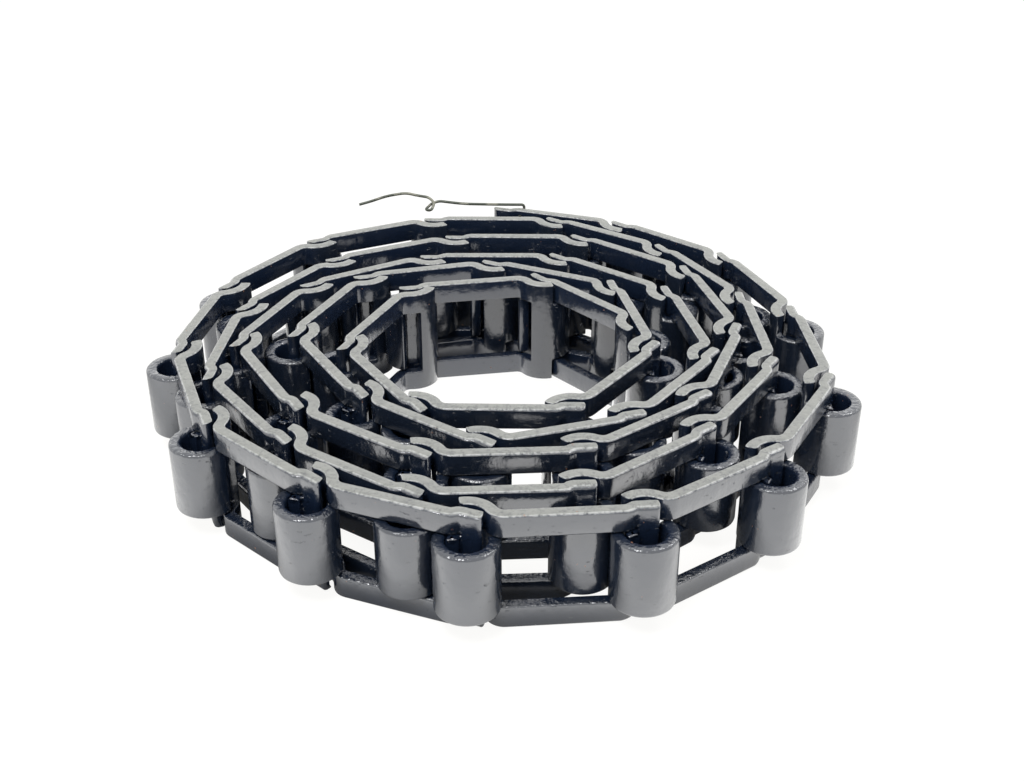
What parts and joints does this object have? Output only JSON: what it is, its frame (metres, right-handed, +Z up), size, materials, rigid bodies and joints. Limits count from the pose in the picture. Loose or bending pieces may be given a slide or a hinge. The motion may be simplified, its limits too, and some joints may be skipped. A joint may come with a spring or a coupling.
{
  "type": "coil of conveyor chain",
  "caption": "Rolled-up length of pressed-steel detachable conveyor chain: hooked links nested in a spiral, the outer end free and held by a twist of wire.",
  "frame": {"origin": "middle of the coil's outline in plan, on the surface it lies on", "axes": "+Z up, along the joint axes of the links; +X to the right seen from the front, +Y to the back, where the outer end lies"},
  "size_m": [0.2774, 0.2727, 0.0532],
  "materials": {
    "painted_steel": "glossy dark enamel",
    "wire": "dull drawn wire"
  },
  "bodies": {
    "coil": {"link_01": "painted_steel", "link_02": "painted_steel", "link_03": "painted_steel", "link_04": "painted_steel", "link_05": "painted_steel", "link_06": "painted_steel", "link_07": "painted_steel", "link_08": "painted_steel", "link_09": "painted_steel", "link_10": "painted_steel", "link_11": "painted_steel", "link_12": "painted_steel", "link_13": "painted_steel", "link_14": "painted_steel", "link_15": "painted_steel", "link_16": "painted_steel", "link_17": "painted_steel", "link_18": "painted_steel", "link_19": "painted_steel", "link_20": "painted_steel", "link_21": "painted_steel", "link_22": "painted_steel", "link_23": "painted_steel", "link_24": "painted_steel", "link_25": "painted_steel", "link_26": "painted_steel", "link_27": "painted_steel", "link_28": "painted_steel", "link_29": "painted_steel", "link_30": "painted_steel", "link_31": "painted_steel", "link_32": "painted_steel", "link_33": "painted_steel", "link_34": "painted_steel", "link_35": "painted_steel", "link_36": "painted_steel", "link_37": "painted_steel", "link_38": "painted_steel", "link_39": "painted_steel", "link_40": "painted_steel", "link_41": "painted_steel", "link_42": "painted_steel", "link_43": "painted_steel", "link_44": "painted_steel", "link_45": "painted_steel", "link_46": "painted_steel", "link_47": "painted_steel"},
    "free_link_48": {"link_48": "painted_steel"},
    "free_link_49": {"link_49": "painted_steel"},
    "free_link_50": {"link_50": "painted_steel"},
    "free_link_51": {"link_51": "painted_steel"},
    "free_link_52": {"link_52": "painted_steel", "tie_wire": "wire"}
  },
  "joints": [
    {"name": "hook_48", "type": "hinge", "parent": "coil", "child": "free_link_48", "pos_m": [0.09778, -0.08722, 0.02275], "axis": [0, 0, 1], "range_deg": [-45, 0]},
    {"name": "hook_49", "type": "hinge", "parent": "free_link_48", "child": "free_link_49", "pos_m": [0.12724, -0.03639, 0.02275], "axis": [0, 0, 1], "range_deg": [-45, 0]},
    {"name": "hook_50", "type": "hinge", "parent": "free_link_49", "child": "free_link_50", "pos_m": [0.12442, 0.02229, 0.02275], "axis": [0, 0, 1], "range_deg": [-45, 0]},
    {"name": "hook_51", "type": "hinge", "parent": "free_link_50", "child": "free_link_51", "pos_m": [0.10325, 0.07709, 0.02275], "axis": [0, 0, 1], "range_deg": [-45, 0]},
    {"name": "hook_52", "type": "hinge", "parent": "free_link_51", "child": "free_link_52", "pos_m": [0.05858, 0.11525, 0.02275], "axis": [0, 0, 1], "range_deg": [-90, 0]}
  ]
}
